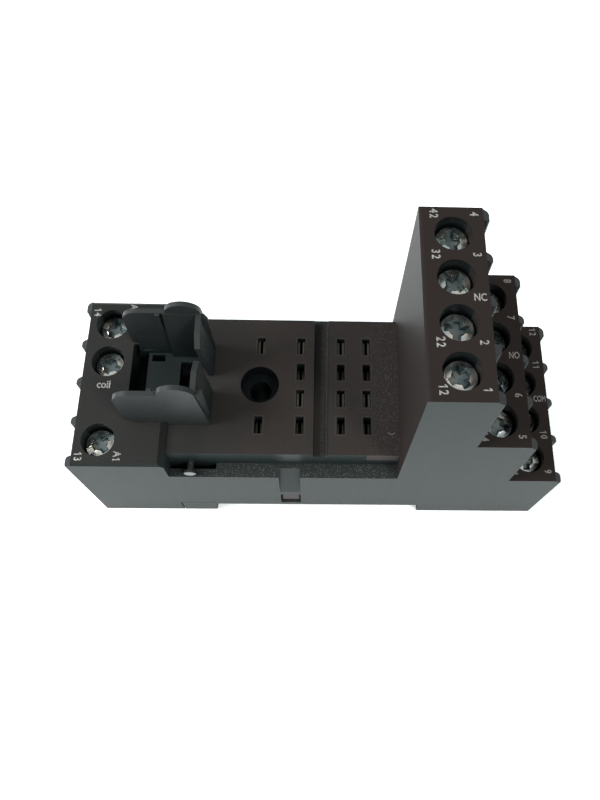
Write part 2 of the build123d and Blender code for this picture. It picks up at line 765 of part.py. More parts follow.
def wing_outline():
    """Side view of a cheek: raised heel, round corner, domed ear and a right edge that leans back."""
    left = clip_left_x
    heel = coil_block_top + wing_heel_rise
    low = coil_block_top + wing_foot_gap
    step_x = coil_block_right + clip_side_gap
    right = clip_right_x - clip_side_gap
    radius = wing_corner_radius
    diagonal = radius * (1 - 0.5 ** 0.5)
    ear_left = coil_block_right + ear_middle - ear_half_length
    ear_right = coil_block_right + ear_middle + ear_half_length
    shoulder = (ear_left, wing_top + ear_shoulder)
    crown = (coil_block_right + ear_middle, plate_top + ear_height)
    shoulder_end = (ear_right, wing_top)
    corner_end = (left + radius, wing_top)
    return [Line((left, heel), (left, wing_top - radius)),
            ThreePointArc((left, wing_top - radius), (left + diagonal, wing_top - diagonal), corner_end),
            Polyline(corner_end, (ear_left, wing_top), shoulder),
            ThreePointArc(shoulder, crown, shoulder_end),
            Polyline(shoulder_end, (right, clip_foot_z), (step_x, clip_foot_z), (step_x, low),
                     (clip_axis_x, low), (left, heel))]


def pad_outline(side, low):
    """End view of the thick part of a cheek, which slopes inwards down to the web."""
    outer = side * wing_inner_half
    top = wing_top - pad_top_drop
    slope = (pad_top_half - pad_foot_half) / (top - clip_web_top)
    knee = max(low, clip_web_top)
    inner = side * (pad_top_half - slope * (top - knee))
    points = [(outer, low), (outer, top), (side * pad_top_half, top), (inner, knee)]
    if low < knee:
        points.append((inner, low))
    return points


def clip_cheek(side):
    """One cheek: thin wing with its ear, wall and hub inside the pocket, pad, groove and rib."""
    inner = side * wing_inner_half
    outer = side * clip_half_width
    wing = side_shape(wing_outline(), min(inner, outer), max(inner, outer))
    wall_inner = side * (wing_inner_half - clip_wall_thickness)
    wall_top = coil_block_top + wing_foot_gap + clip_wall_rise
    wall = end_profile([(inner, clip_web_low), (inner, wall_top), (wall_inner, clip_foot_z),
                        (wall_inner, clip_web_low)], clip_left_x + clip_wall_inset, pad_left)
    hub = cross_rod(clip_axis_x, clip_axis_z, min(inner, wall_inner), max(inner, wall_inner), clip_hub_radius)
    pad_right = clip_right_x - flange_lean
    pad = end_profile(pad_outline(side, clip_web_low), pad_left, clip_web_right)
    pad_end = end_profile(pad_outline(side, clip_foot_z), clip_web_right, pad_right)
    rib_right = pad_left - pad_groove_width
    rib_top = wing_top - pad_top_drop
    rib = block(rib_right - wing_rib_width, rib_right, inner - side * wing_rib_height, inner + side * bite,
                rib_top - wing_rib_length, rib_top)
    groove = block(rib_right, pad_left, inner - side * beyond, inner + side * pad_groove_depth,
                   wall_top, wing_top - pad_groove_depth)
    return wing - groove + wall + hub + pad + pad_end + rib


def clip_flange(side):
    """Inward flange at the relay side that leans back, with a bead where it meets the cheek."""
    outer = side * wing_inner_half
    outline = [(outer, clip_foot_z), (outer, wing_top), (side * flange_shoulder, wing_top),
               (side * flange_inner_top, wing_top - flange_dip), (side * flange_inner_foot, clip_foot_z)]
    right = clip_right_x
    top_x = right - flange_lean
    left = top_x - flange_thickness
    front = end_profile(outline, left, right)
    leaning = [(right, clip_foot_z), (top_x, wing_top), (left, wing_top),
               (right - flange_foot_thickness, clip_foot_z)]
    slab = side_profile(leaning, -clip_half_width, clip_half_width)
    bead = plan_profile([(left, side * bead_inner_half), (right, side * bead_inner_half),
                         (right, side * (bead_outer_half - bead_bevel)),
                         (right - bead_bevel, side * bead_outer_half), (left, side * bead_outer_half)],
                        clip_foot_z, wing_top - bead_drop)
    return (front & slab) + bead


def retainer_clip():
    """Lever that holds the relay down and lifts it out."""
    web_half = wing_inner_half - bite
    shape = block(coil_block_right - clip_web_inset, clip_web_right, -web_half, web_half,
                  clip_web_low, clip_web_top)
    for x0, x1, y0, y1 in (small_window, large_window):
        shape = shape - block(coil_block_right + x0, coil_block_right + x1, y0, y1,
                              clip_web_low - beyond, clip_web_top + beyond)
    pin_half = wing_inner_half + clip_pin_length
    for side in (-1, 1):
        shape = shape + clip_cheek(side) + clip_flange(side)
        ends = (side * (wing_inner_half - bite), side * pin_half)
        shape = shape + cross_rod(clip_axis_x, clip_axis_z, min(ends), max(ends), clip_pin_radius)
    return shape


def save(name, shape):
    """Write one node."""
    export_step(shape, f"parts/{name}.step")


os.makedirs("parts", exist_ok=True)
save("upper_housing", upper_housing())
save("base_pan", base_pan())
save("rail_latch", rail_latch())
save("retainer_clip", retainer_clip())
by_name = {terminal["name"]: terminal for terminal in terminals}
for name, terminal in by_name.items():
    save("screw_" + name, terminal_screw(terminal, driver_angles[name]))
    save("cage_" + name, clamp_cage(terminal))
for name, terminal in by_name.items():
    if name == "coil_a2":
        save("strip_coil_a2", contact_strip(terminal) + coil_link(terminal, by_name["coil_a2_link"]))
    elif name != "coil_a2_link":
        save("strip_" + name, contact_strip(terminal))
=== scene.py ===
import json
import math

import bmesh
import bpy
from mathutils import Matrix, Vector


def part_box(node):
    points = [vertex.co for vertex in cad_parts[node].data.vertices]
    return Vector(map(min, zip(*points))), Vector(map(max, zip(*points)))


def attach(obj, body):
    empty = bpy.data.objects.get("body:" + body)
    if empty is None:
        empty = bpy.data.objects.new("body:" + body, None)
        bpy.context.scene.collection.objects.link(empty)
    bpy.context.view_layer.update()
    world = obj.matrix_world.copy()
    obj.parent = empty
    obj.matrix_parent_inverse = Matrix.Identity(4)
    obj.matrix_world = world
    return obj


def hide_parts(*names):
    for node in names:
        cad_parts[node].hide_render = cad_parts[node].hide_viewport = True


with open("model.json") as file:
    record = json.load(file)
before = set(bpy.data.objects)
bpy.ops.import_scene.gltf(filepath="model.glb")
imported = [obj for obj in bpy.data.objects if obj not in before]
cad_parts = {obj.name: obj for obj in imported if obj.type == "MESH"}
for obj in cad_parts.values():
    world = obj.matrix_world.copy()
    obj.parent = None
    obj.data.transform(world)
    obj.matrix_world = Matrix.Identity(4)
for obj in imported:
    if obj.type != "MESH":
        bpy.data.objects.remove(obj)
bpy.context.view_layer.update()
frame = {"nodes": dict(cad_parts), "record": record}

MM = 0.001


# Places on the housing, in millimetres

PLATE_TOP = 27.6
PLATE_FRONT = -11.2
LEDGE_FROM = 11.1
GROOVE_SIDE = 0.25
TOWER_FOOT = 11.85
TOWER_TOP = 58.2
TIER_RISE = 18.2
TIER_LENGTH = 8.45
NC_SCREW_X = 16.25
COIL_SCREW_X = -33.6
COIL_TOP = 28.7
TERMINAL_PITCH = 6.35
WELL_RADIUS = 2.5
FIXING_X = -9.86
COUNTERBORE_RADIUS = 3.0
CLIP_INNER_HALF = 5.9
PEG_END_Y = 13.25


# Material helpers

def add(tree, kind, **values):
    """A shader node with its properties and unlinked inputs set."""
    node = tree.nodes.new("ShaderNode" + kind)
    for key, value in values.items():
        if hasattr(node, key):
            setattr(node, key, value)
        else:
            node.inputs[key.replace("_", " ")].default_value = value
    return node


def material(name, color, roughness, metallic=0.0):
    """A material with one Principled shader, returned with its node tree and shader."""
    finish = bpy.data.materials.new(name)
    finish.use_nodes = True
    tree = finish.node_tree
    shader = tree.nodes["Principled BSDF"]
    shader.inputs["Base Color"].default_value = (*color, 1)
    shader.inputs["Roughness"].default_value = roughness
    shader.inputs["Metallic"].default_value = metallic
    return finish, tree, shader


def object_point(tree, stretch=(1, 1, 1)):
    """Object coordinates in millimetres, stretched along each axis."""
    place = add(tree, "TexCoord")
    scale = add(tree, "Mapping")
    scale.inputs["Scale"].default_value = tuple(value / MM for value in stretch)
    tree.links.new(place.outputs["Object"], scale.inputs["Vector"])
    return scale.outputs["Vector"]


def axes(tree, point):
    """The three coordinates of a point."""
    split = add(tree, "SeparateXYZ")
    tree.links.new(point, split.inputs["Vector"])
    return split.outputs["X"], split.outputs["Y"], split.outputs["Z"]


def facing(tree):
    """The direction a face looks in, along the object's axes."""
    place = add(tree, "TexCoord")
    return axes(tree, place.outputs["Normal"])


def noise(tree, point, scale, detail):
    """Noise with features about 1 / scale millimetres across."""
    node = add(tree, "TexNoise", Scale=scale, Detail=detail)
    tree.links.new(point, node.inputs["Vector"])
    return node.outputs["Fac"]


def remap(tree, value, low, high, to_low, to_high):
    """A value moved from one range to another, held at its ends."""
    node = add(tree, "MapRange")
    tree.links.new(value, node.inputs["Value"])
    node.inputs["From Min"].default_value = low
    node.inputs["From Max"].default_value = high
    node.inputs["To Min"].default_value = to_low
    node.inputs["To Max"].default_value = to_high
    return node.outputs["Result"]


def rise(tree, value, low, high):
    """Nothing up to a low value, and one from a high value on."""
    return remap(tree, value, low, high, 0, 1)


def fall(tree, value, low, high):
    """One up to a low value, and nothing from a high value on."""
    return remap(tree, value, low, high, 1, 0)


def combine(tree, operation, first, second=0.0):
    """Two values, or a value and a number, joined by a sum."""
    node = add(tree, "Math", operation=operation)
    for socket, value in zip(node.inputs, (first, second)):
        if isinstance(value, (int, float)):
            socket.default_value = value
        else:
            tree.links.new(value, socket)
    return node.outputs["Value"]


def times(tree, first, second):
    """The product of two values."""
    return combine(tree, "MULTIPLY", first, second)


def minus(tree, first, second):
    """The first value less the second."""
    return combine(tree, "SUBTRACT", first, second)


def larger(tree, first, second):
    """The larger of two values."""
    return combine(tree, "MAXIMUM", first, second)


def unsigned(tree, value):
    """A value without its sign."""
    return combine(tree, "ABSOLUTE", value)


def squared_sum(tree, first, second):
    """The sum of two squares."""
    return combine(tree, "ADD", times(tree, first, first), times(tree, second, second))


def from_middle(tree, value, shift, pitch):
    """How far a value is from the nearest of a row of places one pitch apart."""
    half = pitch / 2
    folded = combine(tree, "PINGPONG", combine(tree, "ADD", value, shift), half)
    return minus(tree, folded, half)


# Places of the colour sockets on a Mix node
MIX_FIRST = 6
MIX_SECOND = 7
MIX_RESULT = 2


def blend(tree, factor, first, second):
    """A colour between two colours."""
    node = add(tree, "Mix", data_type="RGBA")
    tree.links.new(factor, node.inputs["Factor"])
    for socket, value in ((node.inputs[MIX_FIRST], first), (node.inputs[MIX_SECOND], second)):
        if isinstance(value, tuple):
            socket.default_value = (*value, 1)
        else:
            tree.links.new(value, socket)
    return node.outputs[MIX_RESULT]


def bump(tree, shader, height, depth_mm, strength):
    """Relief of a given depth on a shader."""
    node = add(tree, "Bump")
    node.inputs["Strength"].default_value = strength
    node.inputs["Distance"].default_value = depth_mm * MM
    tree.links.new(height, node.inputs["Height"])
    tree.links.new(node.outputs["Normal"], shader.inputs["Normal"])


# The range that most of a noise lies in
NOISE_LOW = 0.3
NOISE_HIGH = 0.7
STREAK_FINENESS = 3.0


def streaks(tree, shader, roughness, swing, fineness_z):
    """Faint upright streaks in a shader's gloss, as a part leaves its mould."""
    stretch = (STREAK_FINENESS, STREAK_FINENESS, fineness_z)
    streak = noise(tree, object_point(tree, stretch), scale=1.0, detail=3.0)
    uneven = remap(tree, streak, NOISE_LOW, NOISE_HIGH, roughness - swing, roughness + swing)
    tree.links.new(uneven, shader.inputs["Roughness"])


# Dust

DUST_COLOR = (0.3, 0.3, 0.28)
SPECK_CELL = 0.15
SPECK_RADIUS = 0.034
SPECK_CORE = 0.6
SPECK_SHARE = 0.45
SPECK_SHARE_FADE = 0.02
LEDGE_FADE = 0.2
SUNK_FROM = 0.2
SUNK_FULLY = 0.5
OPEN_DUST = 0.13
GROOVE_DUST = 0.5
GROOVE_DUST_BESIDE = 0.1
GROOVE_DUST_HALF = 0.45
GROOVE_DUST_END = 0.6
FOOT_DUST = 0.7
FOOT_DUST_NEAR = 2
FOOT_DUST_FAR = 6
PLATE_DUST_UP_TO = 0.1
PLATE_DUST_END = 1
TOWER_DUST = 0.04
TOWER_DUST_FADE = 1
WALL_DUST = 0.03
CLIP_DUST = 0.08


def specks(tree, point):
    """Small round specks, one at most in each cell, and only in some of the cells."""
    cells = add(tree, "TexVoronoi", Scale=1 / SPECK_CELL)
    tree.links.new(point, cells.inputs["Vector"])
    edge = SPECK_RADIUS / SPECK_CELL
    dot = fall(tree, cells.outputs["Distance"], edge * SPECK_CORE, edge)
    split = add(tree, "SeparateColor")
    tree.links.new(cells.outputs["Color"], split.inputs["Color"])
    chosen = rise(tree, split.outputs["Red"], SPECK_SHARE, SPECK_SHARE + SPECK_SHARE_FADE)
    return times(tree, dot, chosen)


def over_ledges(tree, y, between):
    """One over the two ledges beside the relay plate, and a smaller value between them."""
    return remap(tree, unsigned(tree, y), LEDGE_FROM - LEDGE_FADE, LEDGE_FROM, between, 1)


def under_plate(tree, z, above):
    """One below the top of the relay plate, and a smaller value above."""
    return remap(tree, z, PLATE_TOP - SUNK_FULLY, PLATE_TOP - SUNK_FROM, 1, above)


def dust_share(tree, point):
    """How much dust lies at a place: most on the ledges, some at the tower's foot, little elsewhere."""
    x, y, z = axes(tree, point)
    sunk = times(tree, over_ledges(tree, y, OPEN_DUST), under_plate(tree, z, OPEN_DUST))
    to_groove = unsigned(tree, minus(tree, x, GROOVE_SIDE))
    in_groove = remap(tree, to_groove, GROOVE_DUST_HALF, GROOVE_DUST_END, GROOVE_DUST, GROOVE_DUST_BESIDE)
    sunk = larger(tree, sunk, in_groove)
    near_foot = remap(tree, x, TOWER_FOOT - FOOT_DUST_FAR, TOWER_FOOT - FOOT_DUST_NEAR, 0, FOOT_DUST)
    on_plate = fall(tree, z, PLATE_TOP + PLATE_DUST_UP_TO, PLATE_TOP + PLATE_DUST_END)
    share = larger(tree, sunk, times(tree, near_foot, on_plate))
    off_tower = remap(tree, x, TOWER_FOOT, TOWER_FOOT + TOWER_DUST_FADE, 1, TOWER_DUST)
    return times(tree, share, off_tower)


# Painted shade in the wells: their walls and the counterbore are darkened where shade falls

WELL_SHADE = (0.003, 0.005, 0.006)
HOLE_EDGE_FROM = 0.1
HOLE_EDGE_TO = 0.3
HOLE_LIP_FROM = 0.02
HOLE_LIP_TO = 0.12
COLUMN_SHIFT = 10.5 * TERMINAL_PITCH
LAST_COLUMN_END = 12.2
LAST_COLUMN_FADE = 0.2
TOWER_WELLS_FADE = 0.2


def in_hole(tree, across_squared, radius, depth):
    """One inside a round hole and below its rim, otherwise nothing."""
    inside = fall(tree, across_squared, radius ** 2 + HOLE_EDGE_FROM, radius ** 2 + HOLE_EDGE_TO)
    return times(tree, inside, rise(tree, depth, HOLE_LIP_FROM, HOLE_LIP_TO))


def painted_well_shade(tree, point):
    """Mask of painted shade: one in the counterbore and in round columns between the terminals, each over
    parts of two wells.
    """
    x, y, z = axes(tree, point)
    lane = from_middle(tree, y, COLUMN_SHIFT, TERMINAL_PITCH)
    row = from_middle(tree, x, TIER_LENGTH / 2 - NC_SCREW_X, TIER_LENGTH)
    tier_depth = combine(tree, "MODULO", minus(tree, TOWER_TOP, z), TIER_RISE)
    tower = in_hole(tree, squared_sum(tree, lane, row), WELL_RADIUS, tier_depth)
    tower = times(tree, tower, rise(tree, x, TOWER_FOOT, TOWER_FOOT + TOWER_WELLS_FADE))
    coil_row = minus(tree, x, COIL_SCREW_X)
    coil_depth = minus(tree, COIL_TOP, z)
    coil = in_hole(tree, squared_sum(tree, lane, coil_row), WELL_RADIUS, coil_depth)
    bore_x = minus(tree, x, FIXING_X)
    plate_depth = minus(tree, PLATE_TOP, z)
    bore = in_hole(tree, squared_sum(tree, bore_x, y), COUNTERBORE_RADIUS, plate_depth)
    wells = larger(tree, tower, larger(tree, coil, bore))
    inside = fall(tree, unsigned(tree, y), LAST_COLUMN_END, LAST_COLUMN_END + LAST_COLUMN_FADE)
    return times(tree, wells, inside)


# Materials

PLASTIC_ROUGHNESS = 0.48
PLASTIC_IOR = 1.37
PLASTIC_GLOSS = 0.17
PLASTIC_GRAIN = 0.01
PLASTIC_STREAKS = 0.007
TRIM_GLOSS = 0.16
CLIP_STREAKS = 0.02
CLIP_GRAIN = 0.004
CLIP_SHADE_HEIGHT = 9
CLIP_SHADE_FADE = 0.3
CLOUD_SIZE = 4
CLOUD_SWING = 0.35
BROWN_FROM = -20
BROWN_TO = -8
LEDGE_TONE_BETWEEN = 0.25
LEFT_WALL_SHADE_SHARE = 0.9
LEFT_WALL_FROM = -1
LEFT_WALL_TO = -0.2
TOWER_TONE_FADE = 0.5
UPWARD_FROM = 0.5
UPWARD_TO = 0.9
LEFTWARD_FROM = -0.6
LEFTWARD_TO = -0.9
RAISED_FROM = 4
RAISED_TO = 7
METAL_POLISH = 0.05
METAL_WEAR = 0.08

# Tones of the moulding by the way a face looks: painted light, cool on the walls and browner on the upper
# faces; the tower's tone is painted shade.
WALL = (0.012, 0.0178, 0.0182)
COIL_END_TOP = (0.0165, 0.0174, 0.0163)
PLATE_TONE = (0.0232, 0.0196, 0.0182)
LEDGE_TONE = (0.0165, 0.0202, 0.0195)
TOWER_SHADE_TONE = (0.0158, 0.0124, 0.0112)
TOPS = (COIL_END_TOP, PLATE_TONE, LEDGE_TONE, TOWER_SHADE_TONE)
LATCH_WALL = (0.018, 0.0195, 0.02)
NOSE = (0.075, 0.062, 0.062)
PAD = (0.052, 0.045, 0.043)
ARROW = (0.13, 0.13, 0.12)
RIM = (0.036, 0.033, 0.031)
# Painted highlight: the pale peg ends stand in for a reflection of the floor.
PEG_HIGHLIGHT = (0.2, 0.22, 0.22)
CLIP_OUTSIDE = (0.0205, 0.0238, 0.0238)
CLIP_INSIDE_SHADE = (0.0075, 0.012, 0.0125)
SCREW_COOL = (0.66, 0.77, 0.77)
SCREW_WARM = (0.94, 0.86, 0.75)
# Painted shade for the walls and floor of the screws' recesses.
RECESS_SHADE_COOL = (0.15, 0.2, 0.21)
RECESS_SHADE_WARM = (0.22, 0.25, 0.24)
CAGE_COOL = (0.5, 0.53, 0.53)
CAGE_WARM = (0.58, 0.55, 0.46)
TIN_COOL = (0.085, 0.085, 0.072)
TIN_WARM = (0.12, 0.115, 0.09)
INK = (0.38, 0.38, 0.37)
INK_THIN = (0.11, 0.108, 0.103)
INK_FULL = (0.36, 0.36, 0.345)
INK_ROUGHNESS = 0.6
INK_RELIEF = 0.01
INK_DULLER_FROM = 5
INK_DULLER_TO = 30
INK_DULLEST = 0.35


def moulded_plastic(name, wall, tops, gloss, grain, raised=None):
    """Black moulding with painted light: cool on its walls and browner on its upper faces by the way each
    face looks, with painted shade on the tower and in the wells, and with dust and faint streaks.
    """
    finish, tree, shader = material(name, wall, PLASTIC_ROUGHNESS)
    shader.inputs["Specular IOR Level"].default_value = gloss
    shader.inputs["IOR"].default_value = PLASTIC_IOR
    point = object_point(tree)
    x, y, z = axes(tree, point)
    to_right, _, upward = facing(tree)
    coil_end, plate, ledge, tower = tops
    clouds = noise(tree, point, scale=1 / CLOUD_SIZE, detail=5.0)
    cloud = remap(tree, clouds, NOISE_LOW, NOISE_HIGH, -CLOUD_SWING, CLOUD_SWING)
    along = combine(tree, "ADD", rise(tree, x, BROWN_FROM, BROWN_TO), cloud)
    top = blend(tree, along, coil_end, plate)
    on_ledge = times(tree, over_ledges(tree, y, LEDGE_TONE_BETWEEN), under_plate(tree, z, 0))
    top = blend(tree, on_ledge, top, ledge)
    # Painted shade: the tower's upper faces take a darker tone.
    top = blend(tree, rise(tree, x, TOWER_FOOT, TOWER_FOOT + TOWER_TONE_FADE), top, tower)
    # Painted shade: the tower's left wall takes the tower's darker tone too.
    left_wall_shade = remap(tree, to_right, LEFTWARD_TO, LEFTWARD_FROM, LEFT_WALL_SHADE_SHARE, 0)
    on_tower = rise(tree, x, TOWER_FOOT + LEFT_WALL_FROM, TOWER_FOOT + LEFT_WALL_TO)
    side = blend(tree, times(tree, left_wall_shade, on_tower), wall, tower)
    # Painted light: walls and upper faces are tinted apart by the way they face.
    tone = blend(tree, rise(tree, upward, UPWARD_FROM, UPWARD_TO), side, top)
    if raised:
        tone = blend(tree, rise(tree, z, RAISED_FROM, RAISED_TO), tone, raised)
    # Painted shade darkens the wells.
    tone = blend(tree, painted_well_shade(tree, point), tone, WELL_SHADE)
    dots = times(tree, specks(tree, point), dust_share(tree, point))
    dots = times(tree, dots, remap(tree, upward, UPWARD_FROM, UPWARD_TO, WALL_DUST, 1))
    tone = blend(tree, dots, tone, DUST_COLOR)
    tree.links.new(tone, shader.inputs["Base Color"])
    streaks(tree, shader, PLASTIC_ROUGHNESS, PLASTIC_STREAKS, fineness_z=0.05)
    bump(tree, shader, noise(tree, point, scale=6.0, detail=2.0), grain, strength=0.5)
    return finish


def plain_plastic(name, color, gloss, grain):
    """Moulding of one colour, for small trim."""
    return moulded_plastic(name, color, (color,) * len(TOPS), gloss, grain)


def clip_plastic(name, outside, inside, roughness, gloss):
    """Smooth moulding of the clip, with painted shade low on its inner side."""
    finish, tree, shader = material(name, outside, roughness)
    shader.inputs["Specular IOR Level"].default_value = gloss
    point = object_point(tree)
    _, y, z = axes(tree, point)
    inner = fall(tree, unsigned(tree, y), CLIP_INNER_HALF, CLIP_INNER_HALF + CLIP_SHADE_FADE)
    low = fall(tree, z, PLATE_TOP, PLATE_TOP + CLIP_SHADE_HEIGHT)
    # Painted shade low on the clip's inner side.
    tone = blend(tree, times(tree, inner, low), outside, inside)
    tone = blend(tree, times(tree, specks(tree, point), CLIP_DUST), tone, DUST_COLOR)
    tree.links.new(tone, shader.inputs["Base Color"])
    streaks(tree, shader, roughness, CLIP_STREAKS, fineness_z=0.2)
    bump(tree, shader, noise(tree, point, scale=5.0, detail=2.0), CLIP_GRAIN, strength=0.5)
    return finish


def metal_plate(name, cool, warm, roughness, relief):
    """Plated metal with faint cool and warm tints."""
    finish, tree, shader = material(name, cool, roughness, metallic=1.0)
    point = object_point(tree)
    tint = rise(tree, noise(tree, point, scale=0.5, detail=2.0), low=0.4, high=0.6)
    tree.links.new(blend(tree, tint, cool, warm), shader.inputs["Base Color"])
    wear = noise(tree, point, scale=1.2, detail=3.0)
    worn = remap(tree, wear, NOISE_LOW, NOISE_HIGH, roughness - METAL_POLISH, roughness + METAL_WEAR)
    tree.links.new(worn, shader.inputs["Roughness"])
    bump(tree, shader, noise(tree, point, scale=2.0, detail=2.0), relief, strength=0.5)
    return finish


def print_ink():
    """Pale pad-printed ink, thin enough for the moulding to dull it, most of all on the tower."""
    finish, tree, shader = material("print_ink", INK, INK_ROUGHNESS)
    point = object_point(tree)
    x, _, _ = axes(tree, point)
    cover = rise(tree, noise(tree, point, scale=4.0, detail=3.0), low=0.35, high=0.65)
    cover = times(tree, cover, remap(tree, x, INK_DULLER_FROM, INK_DULLER_TO, 1, INK_DULLEST))
    tree.links.new(blend(tree, cover, INK_THIN, INK_FULL), shader.inputs["Base Color"])
    bump(tree, shader, noise(tree, point, scale=8.0, detail=2.0), INK_RELIEF, strength=0.4)
    return finish


finishes = {
    "housing": moulded_plastic("housing_plastic", WALL, TOPS, PLASTIC_GLOSS, PLASTIC_GRAIN),
    "base": moulded_plastic("base_plastic", WALL, TOPS, PLASTIC_GLOSS, PLASTIC_GRAIN, raised=NOSE),
    "latch": moulded_plastic("latch_plastic", LATCH_WALL, TOPS, gloss=0.15, grain=0.006),
    "clip": clip_plastic("clip_plastic", CLIP_OUTSIDE, CLIP_INSIDE_SHADE, roughness=0.42, gloss=0.22),
    "pad": plain_plastic("pad_plastic", PAD, TRIM_GLOSS, PLASTIC_GRAIN),
    "arrow": plain_plastic("arrow_plastic", ARROW, TRIM_GLOSS, PLASTIC_GRAIN),
    "rim": plain_plastic("slot_rim_plastic", RIM, TRIM_GLOSS, grain=0.004),
    # Painted highlight on the peg ends.
    "painted_peg_highlight": plain_plastic("peg_highlight_paint", PEG_HIGHLIGHT, gloss=0.3, grain=0.006),
    "screw": metal_plate("screw_plating", SCREW_COOL, SCREW_WARM, roughness=0.24, relief=0.03),
    # Painted shade in the screws' recesses.
    "recess": metal_plate("screw_recess_shade", RECESS_SHADE_COOL, RECESS_SHADE_WARM, roughness=0.42, relief=0.03),
    "cage": metal_plate("cage_plating", CAGE_COOL, CAGE_WARM, roughness=0.36, relief=0.02),
    "strip": metal_plate("strip_tin", TIN_COOL, TIN_WARM, roughness=0.45, relief=0.005),
}
ink = print_ink()

slot_of = {part["node"]: part["material_slot"] for part in frame["record"]["subparts"]}
for node, obj in frame["nodes"].items():
    for place in obj.material_slots:
        place.material = finishes[slot_of[node]]


# Pieces and mesh helpers

ROUND_STEPS = 48
CORNERS = ((-1, -1), (1, -1), (1, 1), (-1, 1))


def new_piece(name, mesh, finish, body):
    """A mesh object with a material, riding on a body."""
    piece = bpy.data.objects.new(name, mesh)
    bpy.context.collection.objects.link(piece)
    if not mesh.materials:
        mesh.materials.append(finish)
    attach(piece, body)
    return piece


def circle(radius, steps, middle=(0, 0)):
    """Points round a circle."""
    angles = [2 * math.pi * k / steps for k in range(steps)]
    return [(middle[0] + radius * math.cos(a), middle[1] + radius * math.sin(a)) for a in angles]


def oblong(half_x, half_y, middle=(0, 0)):
    """The four corners of an oblong."""
    return [(middle[0] + u * half_x, middle[1] + v * half_y) for u, v in CORNERS]


def level(mesh, outline, height):
    """The vertices of an outline at one height."""
    return [mesh.verts.new((u, v, height)) for u, v in outline]


def join_rings(mesh, lower, upper):
    """Faces between two rings of the same count."""
    count = len(lower)
    for k in range(count):
        mesh.faces.new((lower[k], lower[(k + 1) % count], upper[(k + 1) % count], upper[k]))


def stack(mesh, rings):
    """A closed solid through rings one above the other, lowest first."""
    for lower, upper in zip(rings, rings[1:]):
        join_rings(mesh, lower, upper)
    mesh.faces.new(list(reversed(rings[0])))
    mesh.faces.new(rings[-1])


def stored(name, mesh, scale=1.0):
    """Mesh data with its faces turned outwards, scaled, made from a bmesh that is then freed."""
    bmesh.ops.recalc_face_normals(mesh, faces=mesh.faces)
    bmesh.ops.scale(mesh, vec=(scale, scale, scale), verts=mesh.verts)
    data = bpy.data.meshes.new(name)
    mesh.to_mesh(data)
    mesh.free()
    return data


def evaluated_mesh(helper):
    """The mesh of an object with its modifiers applied, or of a text."""
    bpy.context.view_layer.update()
    graph = bpy.context.evaluated_depsgraph_get()
    return bpy.data.meshes.new_from_object(helper.evaluated_get(graph))


# Terminal screws: head with slot and cross recess, and a threaded shank

HEAD_RADIUS = 2.25
HEAD_HEIGHT = 1.6
HEAD_CROWN = 0.25
HEAD_BEVEL = 0.38
HEAD_FLAT_RADIUS = HEAD_RADIUS * 0.5
HEAD_FLAT_DROP = HEAD_CROWN * 0.2
BEVEL_STEPS = 4
SLOT_WIDTH = 1.0
SLOT_DEPTH = 0.8
SLOT_OVERRUN = 0.5
SLOT_REACH = 2 * HEAD_RADIUS + 1
CROSS_RADIUS = 1.8
CROSS_WIDTH = 1.15
CROSS_DEPTH = 1.2
CROSS_TAPER = 0.6
CROSS_OVERRUN = 0.05
DISH_RADIUS = 1.25
DISH_FLOOR = 0.55
DISH_FLOOR_RISE = 0.1
DISH_OVERRUN = 0.08
DISH_STEPS = 24
SHANK_RADIUS = 1.74
SHANK_STEPS = 24
THREAD_DEPTH = 0.22
THREAD_PITCH = 0.6
THREAD_STEPS = 6
UPRIGHT_BELOW = 0.6
SHADED_FLOOR_FROM = SLOT_DEPTH - 0.1
DRIVER_ANGLES = {"coil_a1": 38, "coil_a2": -20, "coil_a2_link": 65}
FIRST_ANGLE = 20
ANGLE_STEP = 53


def head_mesh():
    """Turned head, in millimetres, with its top at z = 0."""
    mesh = bmesh.new()
    outline = [(HEAD_RADIUS, -HEAD_HEIGHT), (HEAD_RADIUS, -HEAD_CROWN - HEAD_BEVEL)]
    for k in range(1, BEVEL_STEPS + 1):
        angle = math.pi / 2 * k / BEVEL_STEPS
        outline.append((HEAD_RADIUS - HEAD_BEVEL * (1 - math.cos(angle)),
                        -HEAD_CROWN - HEAD_BEVEL * (1 - math.sin(angle))))
    outline.append((HEAD_FLAT_RADIUS, -HEAD_FLAT_DROP))
    stack(mesh, [level(mesh, circle(radius, ROUND_STEPS), height) for radius, height in outline])
    return mesh


def box_mesh(size_x, size_y, low, high, taper=1.0):
    """A box, in millimetres, whose foot may be smaller than its top."""
    mesh = bmesh.new()
    foot = level(mesh, oblong(size_x / 2 * taper, size_y / 2 * taper), low)
    top = level(mesh, oblong(size_x / 2, size_y / 2), high)
    stack(mesh, [foot, top])
    return mesh


def dish_mesh():
    """The round lead-in at the middle of the recess, in millimetres."""
    mesh = bmesh.new()
    foot = level(mesh, circle(DISH_FLOOR, DISH_STEPS), -CROSS_DEPTH + DISH_FLOOR_RISE)
    top = level(mesh, circle(DISH_RADIUS, DISH_STEPS), DISH_OVERRUN)
    stack(mesh, [foot, top])
    return mesh


def add_shank(mesh, length):
    """Threaded shank below the head, added to a bmesh in millimetres."""
    rows = int(length / THREAD_PITCH * THREAD_STEPS)
    rings = []
    for row in range(rows + 1):
        height = -HEAD_HEIGHT - length * row / rows
        turn = []
        for k in range(SHANK_STEPS):
            angle = 2 * math.pi * k / SHANK_STEPS
            phase = (height / THREAD_PITCH - k / SHANK_STEPS) % 1.0
            radius = SHANK_RADIUS - THREAD_DEPTH * (1 - abs(2 * phase - 1))
            turn.append(mesh.verts.new((radius * math.cos(angle), radius * math.sin(angle), height)))
        rings.append(turn)
    stack(mesh, list(reversed(rings)))


